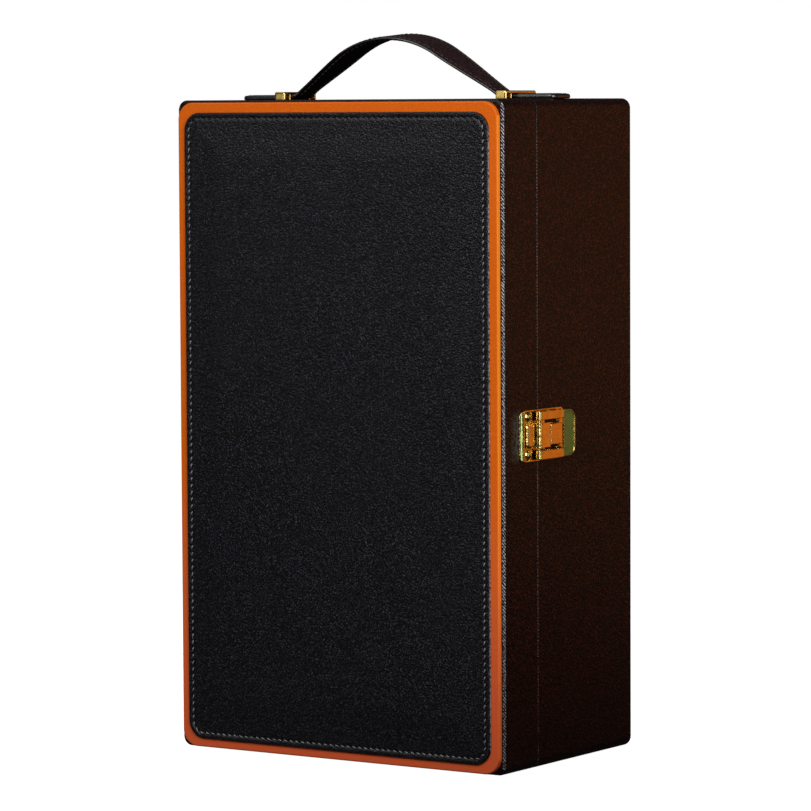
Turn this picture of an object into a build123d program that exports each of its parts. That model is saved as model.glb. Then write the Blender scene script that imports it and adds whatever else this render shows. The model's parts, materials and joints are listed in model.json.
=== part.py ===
from build123d import *
from math import radians, tan
import os

# A leather-covered box for two upright wine bottles. The deep body stands at the back and the
# shallow lid closes its front, hinged on the left side and held by a hasp on the right side.
# The origin is the centre of the closed box's footprint: +X to the hasp, -Y to the front, +Z up.
# Every size is in millimetres.

# Box
WIDTH = 208
DEPTH = 128
HEIGHT = 350
LID_DEPTH = 32
SPLIT_GAP = 0.3
OUTLINE_RADIUS = 5.2
BACK_EDGE_RADIUS = 1.6
FRONT_EDGE_RADIUS = 2
RIM_RADIUS = 0.4
LEATHER = 1
BOARD = 7
LINING = 1
BODY_TURN_IN = 12
LID_TURN_IN = 8

SIDE = WIDTH / 2
FRONT = -DEPTH / 2
BACK = DEPTH / 2
SPLIT = FRONT + LID_DEPTH
BODY_FRONT = SPLIT + SPLIT_GAP / 2
LID_BACK = SPLIT - SPLIT_GAP / 2
WALL = LEATHER + BOARD
LINED_WALL = WALL + LINING

# Bottles: their recesses in the tray, and the pad in the lid
BOTTLE_X = 47.5
RECESS_RADIUS = 39.5
NECK_RADIUS = 16.5
RECESS_FLOOR = 14
SHOULDER_LOW = 205
SHOULDER_HIGH = 250
RECESS_TOP = 334
TRAY_FRONT = 0
PAD_CHANNEL_RADIUS = 41
PAD_THICKNESS = 16.5
PAD_WIDTH = 172
PAD_CORNER = 6
PAD_LOW = 20
PAD_HIGH = 215

# Front panels
PANEL_WIDTH = 203.4
PANEL_LOW = 0.6
PANEL_HIGH = 348.7
PANEL_THICKNESS = 2.7
PANEL_RADIUS = 9
PANEL_EDGE = 0.9
FRONT_PAD_WIDTH = 193.8
FRONT_PAD_LOW = 5.3
FRONT_PAD_HIGH = 343.4
FRONT_PAD_THICKNESS = 2
FRONT_PAD_EDGE = 1.4
INNER_PAD_RADIUS = 2
FOAM_INSET = 6.5
FOAM_THICKNESS = 1.2
CROWN = 0.4
CROWN_RUN = 14
STITCH_INSET = 3.8
STITCH_GROOVE_WIDTH = 0.8
STITCH_GROOVE_DEPTH = 0.25

# Hinges on the left side
HINGE_HEIGHTS = {"lower": 60, "upper": 290}
HINGE_LENGTH = 40
HINGE_OFFSET = 2.6
BARREL_RADIUS = 2.2
HINGE_PIN_RADIUS = 1
LEAF_THICKNESS = 1
LEAF_REACH = 15
LEAF_ROOT = 3.2
LEAF_CORNER = 2
KNUCKLES = 5
KNUCKLE_GAP = 0.3
SCREW_SPACING = 13
SCREW_HEAD_RADIUS = 1.9
SCREW_RADIUS = 0.9
SCREW_LENGTH = 7
SCREW_Y = 10
SINK_ANGLE = 90
SCREW_SLOT = 0.45
LEAF_EDGE = 0.25
SHAFT_CLEARANCE = 0.05

# Clasp on the right side; heights are measured from its middle and depths from the split
CLASP_HEIGHT = 175.3
PLATE_THICKNESS = 0.8
PLATE_SETBACK = 0.1
PLATE_HALF = 13.4
LID_PLATE_FRONT = -18
LID_PLATE_CORNER = 4
BORDER_WIDTH = 2.7
BORDER_FOOT = 0.25
BORDER_SWELL = 0.15
RIM_WIDTH = 0.7
RIM_HEIGHT = 0.6
NOTCH_FRONT = -6.3
NOTCH_BACK = -0.9
NOTCH_LOW = 7.7
NOTCH_HIGH = 12.6
BOSS_FRONT = -13.9
BOSS_BACK = -5.8
BOSS_HEIGHT = 1.6
BOSS_CORNER = 2
BOSS_EDGE = 1.4
CURL_Y = -3.3
CURL_OFFSET = 3
CURL_RADIUS = 1.9
CLASP_PIN_RADIUS = 0.9
CLASP_PIN_HALF = 12.6
HASP_THICKNESS = 0.9
HASP_HALF = 12.4
ARM_LOW = 8.1
TONGUE_HALF = 6.4
TONGUE_END = 5.7
TONGUE_DROP = 0.4
WINDOW_END = 18.3
WINDOW_CORNER = 1.2
TAB_END = 28
TAB_LIFT = 1.4
TAB_CORNER = 5.5
TAB_RIM = 1.1
TAB_DISH = 0.3
HASP_EDGE = 0.4
STRIKE_BACK = 24.3
STRIKE_CORNER = 2.5
PLATE_EDGE = 0.25
RELIEF_LOW = 5.9
RELIEF_HIGH = 8.1
RELIEF_CORNER = 0.8
CATCH_FRONT = 6.3
CATCH_BACK = 17.7
CATCH_HALF = 5.5
CATCH_HEIGHT = 3.7
CATCH_EDGE = 0.5
RIVET_HEAD_RADIUS = 2.7
RIVET_HEAD_HEIGHT = 1.3
RIVET_RADIUS = 1.1
RIVET_LENGTH = 6
RIVET_HEIGHT = 9.9
LID_RIVET_Y = -10.8
STRIKE_RIVET_Y = (3.5, 20.9)

# Handle on top
LOOP_X = 71.2
LOOP_WIDTH = 6.5
LOOP_THICKNESS = 1.1
LOOP_INSIDE = 17.4
LOOP_HEIGHT = 4.1
LOOP_CORNER = 1.6
LOOP_EDGE = 0.35
PRONG_WIDTH = 4
PRONG_CLEARANCE = 0.1
CLINCH_LENGTH = 5
STRAP_THICKNESS = 2.2
STRAP_LIFT = 0.3
STRAP_REACH = 69
STRAP_NECK = 16
STRAP_MIDDLE = 27
NECK_X = 61
MIDDLE_X = 36
SHOULDER_RADIUS = 60
LEFT_BEND_X = 67.4
RIGHT_BEND_X = 66.2
BEND_RADIUS = 4
LEFT_SLOPE = 34.5
RIGHT_SLOPE = 31.25
APEX_RADIUS = 57.6
HANDLE_GAP = 0.3
TAB_WIDTH = 18.6
TAB_THICKNESS = 2.8
TAB_OUTER_X = 100.8
TAB_TIP_RADIUS = 4
TAB_EDGE_RADIUS = 0.6

BACKWARD = (0, 1, 0)
UPWARD = (0, 0, 1)

os.makedirs("parts", exist_ok=True)


def save(piece, name):
    """Label a finished piece and write it to its own file."""
    piece.label = name
    export_step(piece, f"parts/{name}.step")


def frontal(y, z=HEIGHT / 2):
    """The plane facing the front at depth y: its own axes run right and up."""
    return Plane(origin=(0, y, z), x_dir=(1, 0, 0), z_dir=(0, -1, 0))


def sideways(x):
    """The plane facing the hasp side at x, level with the clasp: its axes run back and up."""
    return Plane(origin=(x, SPLIT, CLASP_HEIGHT), x_dir=(0, 1, 0), z_dir=(1, 0, 0))


def level(z):
    """The level plane at a height above the clasp's middle: its axes run right and back."""
    return Plane.XY.offset(CLASP_HEIGHT + z).move(Location((0, SPLIT, 0)))


def outline(y, inset):
    """The box's rounded front outline, inset all round, drawn at depth y."""
    with BuildSketch(frontal(y)) as drawn:
        RectangleRounded(WIDTH - 2 * inset, HEIGHT - 2 * inset, OUTLINE_RADIUS - inset)
    return drawn.sketch


def opening(y, inset):
    """The square-cornered outline inside the walls, drawn at depth y."""
    with BuildSketch(frontal(y)) as drawn:
        Rectangle(WIDTH - 2 * inset, HEIGHT - 2 * inset)
    return drawn.sketch


def block(front, back, inset, rounded_end, edge_radius):
    """A solid with the box's outline, its edges rounded on its front (0) or back (-1) face."""
    with BuildPart() as solid:
        extrude(outline(front, inset), amount=back - front, dir=BACKWARD)
        end = solid.faces().sort_by(Axis.Y)[rounded_end]
        fillet(end.edges(), edge_radius)
    return solid.part


# Body boards

BOARD_BACK = BACK - LEATHER
BODY_WALL_BACK = BOARD_BACK - BOARD
BODY_WALL_FRONT = BODY_FRONT + LEATHER
LID_BOARD_FRONT = FRONT + LEATHER
LID_WALL_FRONT = LID_BOARD_FRONT + BOARD
LID_WALL_BACK = LID_BACK - LEATHER


def level_board(front, back, side):
    """The top (side 1) or bottom (side -1) board, with the box's rounded outer corners."""
    with BuildPart() as board:
        with BuildSketch(frontal(front)):
            RectangleRounded(WIDTH - 2 * LEATHER, HEIGHT - 2 * LEATHER, OUTLINE_RADIUS - LEATHER)
            with Locations((0, side * (HEIGHT / 2 - LEATHER - BOARD / 2))):
                Rectangle(WIDTH, BOARD, mode=Mode.INTERSECT)
        extrude(amount=back - front, dir=BACKWARD)
    return board.part


def upright_board(front, back, side):
    """The right (side 1) or left (side -1) board, standing between the level ones."""
    with BuildPart() as board:
        with BuildSketch(frontal(front)):
            with Locations((side * (SIDE - LEATHER - BOARD / 2), 0)):
                Rectangle(BOARD, HEIGHT - 2 * WALL)
        extrude(amount=back - front, dir=BACKWARD)
    return board.part


LEG_Y = (LOOP_INSIDE + LOOP_THICKNESS) / 2


def prongs(x, clearance=0):
    """The two prongs of a handle loop, clinched outwards under the top board."""
    width = PRONG_WIDTH + 2 * clearance
    thickness = LOOP_THICKNESS + 2 * clearance
    clinch = LEG_Y + CLINCH_LENGTH / 2
    with BuildPart() as pair:
        for side in (-1, 1):
            with Locations((x, side * LEG_Y, HEIGHT)):
                Box(width, thickness, WALL, align=(Align.CENTER, Align.CENTER, Align.MAX))
            with Locations((x, side * clinch, HEIGHT - WALL)):
                size = (width, CLINCH_LENGTH + thickness, thickness)
                Box(*size, align=(Align.CENTER, Align.CENTER, Align.MIN))
    return pair.part


with BuildPart() as body_top_board:
    add(level_board(BODY_WALL_FRONT, BODY_WALL_BACK, 1))
    for loop_x in (-LOOP_X, LOOP_X):
        add(prongs(loop_x, PRONG_CLEARANCE), mode=Mode.SUBTRACT)
save(body_top_board.part, "body_top_board")
save(level_board(BODY_WALL_FRONT, BODY_WALL_BACK, -1), "body_bottom_board")
save(upright_board(BODY_WALL_FRONT, BODY_WALL_BACK, -1), "body_left_board")
save(upright_board(BODY_WALL_FRONT, BODY_WALL_BACK, 1), "body_right_board")
save(block(BODY_WALL_BACK, BOARD_BACK, LEATHER, -1, BACK_EDGE_RADIUS - LEATHER), "body_back_board")

# Lid boards

save(block(LID_BOARD_FRONT, LID_WALL_FRONT, LEATHER, 0, FRONT_EDGE_RADIUS - LEATHER), "lid_front_board")
save(level_board(LID_WALL_FRONT, LID_WALL_BACK, 1), "lid_top_board")
save(level_board(LID_WALL_FRONT, LID_WALL_BACK, -1), "lid_bottom_board")
save(upright_board(LID_WALL_FRONT, LID_WALL_BACK, -1), "lid_left_board")
save(upright_board(LID_WALL_FRONT, LID_WALL_BACK, 1), "lid_right_board")

# Leather coverings: each wraps its boards, goes over their rims and is turned in along the walls

with BuildPart() as body_leather:
    add(block(BODY_FRONT, BACK, 0, -1, BACK_EDGE_RADIUS))
    boards = block(BODY_WALL_FRONT, BOARD_BACK, LEATHER, -1, BACK_EDGE_RADIUS - LEATHER)
    add(boards, mode=Mode.SUBTRACT)
    extrude(opening(BODY_FRONT, WALL), amount=BODY_TURN_IN, dir=BACKWARD)
    mouth = opening(BODY_FRONT, LINED_WALL)
    extrude(mouth, amount=BODY_TURN_IN, dir=BACKWARD, mode=Mode.SUBTRACT)
    fillet(body_leather.faces().sort_by(Axis.Y)[0].outer_wire().edges(), RIM_RADIUS)
    for loop_x in (-LOOP_X, LOOP_X):
        add(prongs(loop_x, PRONG_CLEARANCE), mode=Mode.SUBTRACT)
save(body_leather.part, "body_leather")

with BuildPart() as lid_leather:
    add(block(FRONT, LID_BACK, 0, 0, FRONT_EDGE_RADIUS))
    boards = block(LID_BOARD_FRONT, LID_WALL_BACK, LEATHER, 0, FRONT_EDGE_RADIUS - LEATHER)
    add(boards, mode=Mode.SUBTRACT)
    extrude(opening(LID_BACK - LID_TURN_IN, WALL), amount=LID_TURN_IN, dir=BACKWARD)
    mouth = opening(LID_BACK - LID_TURN_IN, LINED_WALL)
    extrude(mouth, amount=LID_TURN_IN, dir=BACKWARD, mode=Mode.SUBTRACT)
    fillet(lid_leather.faces().sort_by(Axis.Y)[-1].outer_wire().edges(), RIM_RADIUS)
save(lid_leather.part, "lid_leather")

# Velvet linings

LINING_FRONT = BODY_FRONT + BODY_TURN_IN
TRAY_BACK = BODY_WALL_BACK - LINING
PAD_BACKING = LID_WALL_FRONT + LINING

with BuildPart() as body_lining:
    sleeve = opening(LINING_FRONT, WALL)
    extrude(sleeve, amount=BODY_WALL_BACK - LINING_FRONT, dir=BACKWARD)
    inside = opening(LINING_FRONT, LINED_WALL)
    extrude(inside, amount=TRAY_BACK - LINING_FRONT, dir=BACKWARD, mode=Mode.SUBTRACT)
save(body_lining.part, "body_lining")

with BuildPart() as lid_lining:
    sleeve = opening(LID_WALL_FRONT, WALL)
    extrude(sleeve, amount=LID_BACK - LID_TURN_IN - LID_WALL_FRONT, dir=BACKWARD)
    inside = opening(PAD_BACKING, LINED_WALL)
    extrude(inside, amount=LID_BACK - LID_TURN_IN - PAD_BACKING, dir=BACKWARD, mode=Mode.SUBTRACT)
save(lid_lining.part, "lid_lining")

# Bottle tray, with a recess the shape of a bottle on each side

SHOULDER_MIDDLE = ((RECESS_RADIUS + NECK_RADIUS) / 2, (SHOULDER_LOW + SHOULDER_HIGH) / 2)


def bottle_recess(x):
    """A bottle's own form, turned about its upright axis at x."""
    with BuildPart() as bottle:
        with BuildSketch(Plane(origin=(x, TRAY_FRONT, 0), x_dir=(1, 0, 0), z_dir=(0, -1, 0))):
            with BuildLine():
                Line((0, RECESS_FLOOR), (RECESS_RADIUS, RECESS_FLOOR))
                Line((RECESS_RADIUS, RECESS_FLOOR), (RECESS_RADIUS, SHOULDER_LOW))
                shoulder = TangentArc((RECESS_RADIUS, SHOULDER_LOW), SHOULDER_MIDDLE, tangent=(0, 1))
                TangentArc(SHOULDER_MIDDLE, (NECK_RADIUS, SHOULDER_HIGH), tangent=shoulder % 1)
                Line((NECK_RADIUS, SHOULDER_HIGH), (NECK_RADIUS, RECESS_TOP))
                Line((NECK_RADIUS, RECESS_TOP), (0, RECESS_TOP))
                Line((0, RECESS_TOP), (0, RECESS_FLOOR))
            make_face()
        revolve(axis=Axis((x, TRAY_FRONT, 0), UPWARD))
    return bottle.part


with BuildPart() as bottle_tray:
    extrude(opening(TRAY_FRONT, LINED_WALL), amount=TRAY_BACK - TRAY_FRONT, dir=BACKWARD)
    for side in (-1, 1):
        add(bottle_recess(side * BOTTLE_X), mode=Mode.SUBTRACT)
save(bottle_tray.part, "bottle_tray")

with BuildPart() as lid_bottle_pad:
    with BuildSketch(frontal(PAD_BACKING, (PAD_LOW + PAD_HIGH) / 2)):
        RectangleRounded(PAD_WIDTH, PAD_HIGH - PAD_LOW, PAD_CORNER)
    extrude(amount=PAD_THICKNESS, dir=BACKWARD)
    with Locations((-BOTTLE_X, 0, HEIGHT / 2), (BOTTLE_X, 0, HEIGHT / 2)):
        Cylinder(PAD_CHANNEL_RADIUS, HEIGHT, mode=Mode.SUBTRACT)
save(lid_bottle_pad.part, "lid_bottle_pad")

# Front panel, of leather folded over card

PANEL_FRONT = FRONT - PANEL_THICKNESS


def panel(y, width, height, radius, z):
    """A rounded panel's outline with its middle at height z, drawn at depth y."""
    with BuildSketch(frontal(y, z)) as drawn:
        RectangleRounded(width, height, radius)
    return drawn.sketch


def front_panel(y, inset):
    """The front panel's outline, inset all round, drawn at depth y."""
    size = (PANEL_WIDTH - 2 * inset, PANEL_HIGH - PANEL_LOW - 2 * inset)
    return panel(y, *size, PANEL_RADIUS - inset, (PANEL_HIGH + PANEL_LOW) / 2)


with BuildPart() as front_panel_card:
    covered = front_panel(PANEL_FRONT + LEATHER, LEATHER)
    extrude(covered, amount=PANEL_THICKNESS - LEATHER, dir=BACKWARD)
save(front_panel_card.part, "front_panel_card")

with BuildPart() as front_panel_leather:
    extrude(front_panel(PANEL_FRONT, 0), amount=PANEL_THICKNESS, dir=BACKWARD)
    fillet(front_panel_leather.faces().sort_by(Axis.Y)[0].edges(), PANEL_EDGE)
    add(front_panel_card.part, mode=Mode.SUBTRACT)
save(front_panel_leather.part, "front_panel_leather")

# Padded panel on the front, with a stitched border

FRONT_PAD_HEIGHT = FRONT_PAD_HIGH - FRONT_PAD_LOW
FRONT_PAD_MIDDLE = (FRONT_PAD_HIGH + FRONT_PAD_LOW) / 2
PAD_FACE = PANEL_FRONT - FRONT_PAD_THICKNESS


def pad_panel(y, inset):
    """The padded panel's outline, inset all round, drawn at depth y."""
    radius = max(PANEL_RADIUS - inset, INNER_PAD_RADIUS)
    size = (FRONT_PAD_WIDTH - 2 * inset, FRONT_PAD_HEIGHT - 2 * inset)
    return panel(y, *size, radius, FRONT_PAD_MIDDLE)


with BuildPart() as front_pad_foam:
    extrude(pad_panel(PANEL_FRONT, FOAM_INSET), amount=-FOAM_THICKNESS, dir=BACKWARD)
save(front_pad_foam.part, "front_pad_foam")

with BuildPart() as front_pad_leather:
    extrude(pad_panel(PANEL_FRONT, 0), amount=-FRONT_PAD_THICKNESS, dir=BACKWARD)
    fillet(front_pad_leather.faces().sort_by(Axis.Y)[0].edges(), FRONT_PAD_EDGE)
    loft([pad_panel(PAD_FACE, FOAM_INSET), pad_panel(PAD_FACE - CROWN, FOAM_INSET + CROWN_RUN)])
    outer = pad_panel(PAD_FACE, STITCH_INSET - STITCH_GROOVE_WIDTH / 2)
    inner = pad_panel(PAD_FACE, STITCH_INSET + STITCH_GROOVE_WIDTH / 2)
    extrude(outer - inner, amount=STITCH_GROOVE_DEPTH, dir=BACKWARD, mode=Mode.SUBTRACT)
    add(front_pad_foam.part, mode=Mode.SUBTRACT)
save(front_pad_leather.part, "front_pad_leather")

# Butt hinges: the knuckles of the two leaves take turns along the pin

HINGE_X = -SIDE - HINGE_OFFSET
KNUCKLE_LENGTH = HINGE_LENGTH / KNUCKLES


def hinge_leaf(z, side, places, bore):
    """A leaf on the body (side 1) or the lid (side -1), with knuckles at the given places."""
    with BuildPart() as leaf:
        face = Plane(origin=(-SIDE, SPLIT, z), x_dir=(0, -1, 0), z_dir=(-1, 0, 0))
        with BuildSketch(face) as plate:
            with Locations((-side * (LEAF_REACH + LEAF_ROOT) / 2, 0)):
                Rectangle(LEAF_REACH - LEAF_ROOT, HINGE_LENGTH)
            far_end = 0 if side > 0 else -1
            fillet(plate.vertices().group_by(Axis.X)[far_end], LEAF_CORNER)
        extrude(amount=LEAF_THICKNESS)
        outer_face = leaf.faces().sort_by(Axis.X)[0]
        fillet(outer_face.edges(), LEAF_EDGE)
        for place in places:
            low = z - HINGE_LENGTH / 2 + place * KNUCKLE_LENGTH + KNUCKLE_GAP / 2
            with BuildSketch(Plane.XY.offset(low)):
                with Locations((HINGE_X, SPLIT)):
                    Circle(BARREL_RADIUS)
                with BuildLine():
                    Polyline(
                        (-SIDE - LEAF_THICKNESS / 2, SPLIT),
                        (-SIDE, SPLIT + side * LEAF_ROOT),
                        (-SIDE - LEAF_THICKNESS, SPLIT + side * LEAF_ROOT),
                        (HINGE_X - BARREL_RADIUS / 2, SPLIT),
                        close=True,
                    )
                make_face()
            extrude(amount=KNUCKLE_LENGTH - KNUCKLE_GAP)
        with Locations((HINGE_X, SPLIT, z)):
            Cylinder(bore, HINGE_LENGTH, mode=Mode.SUBTRACT)
        outside = Plane(origin=(-SIDE - LEAF_THICKNESS, SPLIT, z), x_dir=(0, -1, 0), z_dir=(-1, 0, 0))
        with Locations(outside):
            with Locations(*[(-side * SCREW_Y, step * SCREW_SPACING) for step in (-1, 0, 1)]):
                CounterSinkHole(SCREW_RADIUS, SCREW_HEAD_RADIUS, LEAF_THICKNESS, SINK_ANGLE)
    return leaf.part


with BuildPart() as screw:
    with BuildSketch(Plane.YZ):
        Circle(SCREW_HEAD_RADIUS)
    with BuildSketch(Plane.YZ.offset(LEAF_THICKNESS)):
        Circle(SCREW_RADIUS)
    loft()
    with BuildSketch(Plane.YZ.offset(LEAF_THICKNESS)):
        Circle(SCREW_RADIUS)
    extrude(amount=SCREW_LENGTH)
    Box(2 * SCREW_SLOT, 2 * SCREW_HEAD_RADIUS, SCREW_SLOT, mode=Mode.SUBTRACT)


def hinge_screws(side):
    """Every screw of the leaves on the body (side 1) or the lid (side -1), its head flush."""
    with BuildPart() as screws:
        for height in HINGE_HEIGHTS.values():
            for step in (-1, 0, 1):
                place = (-SIDE - LEAF_THICKNESS, SPLIT + side * SCREW_Y, height + step * SCREW_SPACING)
                with Locations(place):
                    add(screw.part)
    return screws.part


BODY_KNUCKLES = (0, 2, 4)
LID_KNUCKLES = (1, 3)

for name, height in HINGE_HEIGHTS.items():
    save(hinge_leaf(height, 1, BODY_KNUCKLES, HINGE_PIN_RADIUS), f"{name}_hinge_body_leaf")
    lid_bore = HINGE_PIN_RADIUS + SHAFT_CLEARANCE
    save(hinge_leaf(height, -1, LID_KNUCKLES, lid_bore), f"{name}_hinge_lid_leaf")
    with BuildPart() as hinge_pin:
        with Locations((HINGE_X, SPLIT, height)):
            Cylinder(HINGE_PIN_RADIUS, HINGE_LENGTH)
    save(hinge_pin.part, f"{name}_hinge_pin")

save(hinge_screws(1), "body_hinge_screws")
save(hinge_screws(-1), "lid_hinge_screws")

# Clasp: a plate on the lid carries the hasp, whose window drops over the catch on the body

STRIKE_FRONT = SPLIT_GAP / 2 + PLATE_SETBACK
LID_PLATE_BACK = -STRIKE_FRONT
PLATE_FACE = SIDE + PLATE_THICKNESS
CURL_X = SIDE + CURL_OFFSET
CURL_FRONT = CURL_Y - CURL_RADIUS
CURL_TOP = CURL_X + CURL_RADIUS


def clasp_patch(front, back, low, high, mode=Mode.ADD):
    """A rectangle of a sketch on the hasp side, between two depths and two heights."""
    with Locations(((front + back) / 2, (low + high) / 2)):
        Rectangle(back - front, high - low, mode=mode)


with BuildPart() as clasp_lid_plate:
    with BuildSketch(sideways(SIDE)) as blank:
        clasp_patch(LID_PLATE_FRONT, LID_PLATE_BACK, -PLATE_HALF, PLATE_HALF)
        fillet(blank.vertices().group_by(Axis.X)[0], LID_PLATE_CORNER)
        clasp_patch(NOTCH_FRONT, NOTCH_BACK, NOTCH_LOW, NOTCH_HIGH, Mode.SUBTRACT)
        clasp_patch(NOTCH_FRONT, NOTCH_BACK, -NOTCH_HIGH, -NOTCH_LOW, Mode.SUBTRACT)
        with Locations((LID_RIVET_Y, RIVET_HEIGHT), (LID_RIVET_Y, -RIVET_HEIGHT)):
            Circle(RIVET_RADIUS, mode=Mode.SUBTRACT)
    extrude(amount=PLATE_THICKNESS)
    with BuildSketch(sideways(PLATE_FACE)) as turned_edge:
        clasp_patch(LID_PLATE_FRONT, LID_PLATE_BACK, -PLATE_HALF, PLATE_HALF)
        fillet(turned_edge.vertices().group_by(Axis.X)[0], LID_PLATE_CORNER)
        inside = PLATE_HALF - RIM_WIDTH
        rim_back = LID_PLATE_FRONT + BORDER_WIDTH + RIM_WIDTH
        clasp_patch(rim_back, LID_PLATE_BACK, -inside, inside, Mode.SUBTRACT)
    extrude(amount=RIM_HEIGHT)
    with BuildSketch(level(-PLATE_HALF)):
        with BuildLine():
            border_foot = (SIDE + BORDER_FOOT, LID_PLATE_FRONT)
            border_top = (PLATE_FACE + RIM_HEIGHT, LID_PLATE_FRONT + BORDER_WIDTH)
            SagittaArc(border_foot, border_top, BORDER_SWELL)
            Line(border_top, (border_top[0], LID_PLATE_FRONT))
            Line((border_top[0], LID_PLATE_FRONT), border_foot)
        make_face()
    extrude(amount=2 * PLATE_HALF, mode=Mode.SUBTRACT)
    with BuildSketch(sideways(PLATE_FACE)):
        with Locations(((BOSS_FRONT + BOSS_BACK) / 2, 0)):
            RectangleRounded(BOSS_BACK - BOSS_FRONT, 2 * TONGUE_HALF, BOSS_CORNER)
    extrude(amount=BOSS_HEIGHT)
    fillet(clasp_lid_plate.faces().sort_by(Axis.X)[-1].edges(), BOSS_EDGE)
    with BuildSketch(level(-TONGUE_HALF)):
        with Locations((CURL_X, CURL_Y)):
            Circle(CURL_RADIUS)
            Rectangle(CURL_X - PLATE_FACE, CURL_RADIUS, align=(Align.MAX, Align.CENTER))
        with BuildLine():
            Polyline(
                (CURL_TOP, CURL_Y),
                (CURL_TOP - TONGUE_DROP, TONGUE_END),
                (CURL_TOP - TONGUE_DROP - HASP_THICKNESS, TONGUE_END),
                (CURL_TOP - HASP_THICKNESS, CURL_Y),
                close=True,
            )
        make_face()
    extrude(amount=2 * TONGUE_HALF)
    with Locations((CURL_X, SPLIT + CURL_Y, CLASP_HEIGHT)):
        Cylinder(CLASP_PIN_RADIUS, 2 * TONGUE_HALF, mode=Mode.SUBTRACT)
save(clasp_lid_plate.part, "clasp_lid_plate")

with BuildPart() as clasp_pin:
    with Locations((CURL_X, SPLIT + CURL_Y, CLASP_HEIGHT)):
        Cylinder(CLASP_PIN_RADIUS, 2 * CLASP_PIN_HALF)
save(clasp_pin.part, "clasp_pin")

with BuildPart() as thumb_dish:
    with BuildSketch(level(-HASP_HALF)):
        with BuildLine():
            Polyline(
                (CURL_TOP - TAB_DISH, WINDOW_END),
                (CURL_TOP + TAB_LIFT - TAB_DISH, TAB_END),
                (CURL_TOP + 2 * TAB_LIFT, TAB_END),
                (CURL_TOP + 2 * TAB_LIFT, WINDOW_END),
                close=True,
            )
        make_face()
    extrude(amount=2 * HASP_HALF)
    with BuildSketch(sideways(SIDE)) as hollow:
        hollow_half = HASP_HALF - TAB_RIM
        clasp_patch(WINDOW_END + TAB_RIM, TAB_END - TAB_RIM, -hollow_half, hollow_half)
        fillet(hollow.vertices(), (TAB_END - WINDOW_END) / 2 - TAB_RIM - TAB_DISH)
    extrude(amount=CURL_TOP + 2 * TAB_LIFT - SIDE, mode=Mode.INTERSECT)

with BuildPart() as clasp_hasp:
    with BuildSketch(level(-HASP_HALF)):
        with Locations((CURL_X, CURL_Y)):
            Circle(CURL_RADIUS)
        with BuildLine():
            Polyline(
                (CURL_TOP, CURL_Y),
                (CURL_TOP, WINDOW_END),
                (CURL_TOP + TAB_LIFT, TAB_END),
                (CURL_TOP + TAB_LIFT - HASP_THICKNESS, TAB_END),
                (CURL_TOP - HASP_THICKNESS, WINDOW_END),
                (CURL_TOP - HASP_THICKNESS, CURL_Y),
                close=True,
            )
        make_face()
    extrude(amount=2 * HASP_HALF)
    with BuildSketch(sideways(SIDE)) as stamping:
        clasp_patch(CURL_FRONT, TAB_END, -HASP_HALF, HASP_HALF)
        fillet(stamping.vertices().group_by(Axis.X)[-1], TAB_CORNER)
        clasp_patch(LID_PLATE_FRONT, WINDOW_END, -ARM_LOW, ARM_LOW, Mode.SUBTRACT)
        fillet(stamping.vertices().filter_by_position(Axis.X, WINDOW_END, WINDOW_END), WINDOW_CORNER)
    extrude(amount=CURL_TOP + TAB_LIFT - SIDE, mode=Mode.INTERSECT)
    tab_face = clasp_hasp.faces().filter_by(GeomType.PLANE).sort_by(Axis.X)[-1]
    bend_y = SPLIT + WINDOW_END
    fillet(tab_face.edges().filter_by_position(Axis.Y, bend_y + HASP_EDGE, BACK), HASP_EDGE)
    add(thumb_dish.part, mode=Mode.SUBTRACT)
    with Locations((CURL_X, SPLIT + CURL_Y, CLASP_HEIGHT)):
        Cylinder(CLASP_PIN_RADIUS + SHAFT_CLEARANCE, 2 * HASP_HALF, mode=Mode.SUBTRACT)
save(clasp_hasp.part, "clasp_hasp")

strike_rivets = [(y, side * RIVET_HEIGHT) for y in STRIKE_RIVET_Y for side in (-1, 1)]

with BuildPart() as clasp_strike_plate:
    with BuildSketch(sideways(SIDE)) as blank:
        clasp_patch(STRIKE_FRONT, STRIKE_BACK, -PLATE_HALF, PLATE_HALF)
        fillet(blank.vertices().group_by(Axis.X)[-1], STRIKE_CORNER)
        with Locations(*strike_rivets):
            Circle(RIVET_RADIUS, mode=Mode.SUBTRACT)
    extrude(amount=PLATE_THICKNESS)
    fillet(clasp_strike_plate.faces().sort_by(Axis.X)[-1].outer_wire().edges(), PLATE_EDGE)
    with BuildSketch(sideways(SIDE)) as relief:
        clasp_patch(TONGUE_END, CATCH_BACK, RELIEF_LOW, RELIEF_HIGH)
        clasp_patch(TONGUE_END, CATCH_BACK, -RELIEF_HIGH, -RELIEF_LOW)
        fillet(relief.vertices(), RELIEF_CORNER)
    extrude(amount=PLATE_THICKNESS, mode=Mode.SUBTRACT)
save(clasp_strike_plate.part, "clasp_strike_plate")

with BuildPart() as clasp_catch:
    with BuildSketch(sideways(PLATE_FACE)):
        clasp_patch(CATCH_FRONT, CATCH_BACK, -CATCH_HALF, CATCH_HALF)
    extrude(amount=CATCH_HEIGHT)
    top_edges = clasp_catch.faces().sort_by(Axis.X)[-1].edges()
    upright_edges = clasp_catch.edges().filter_by(Axis.X)
    fillet(top_edges + upright_edges, CATCH_EDGE)
save(clasp_catch.part, "clasp_catch")

with BuildPart() as rivet:
    with BuildSketch(Plane.XY):
        with BuildLine():
            Polyline(
                (0, RIVET_HEAD_RADIUS),
                (0, RIVET_RADIUS),
                (-RIVET_LENGTH, RIVET_RADIUS),
                (-RIVET_LENGTH, 0),
                (RIVET_HEAD_HEIGHT, 0),
            )
            TangentArc((RIVET_HEAD_HEIGHT, 0), (0, RIVET_HEAD_RADIUS), tangent=(0, 1))
        make_face()
    revolve(axis=Axis.X)


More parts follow.
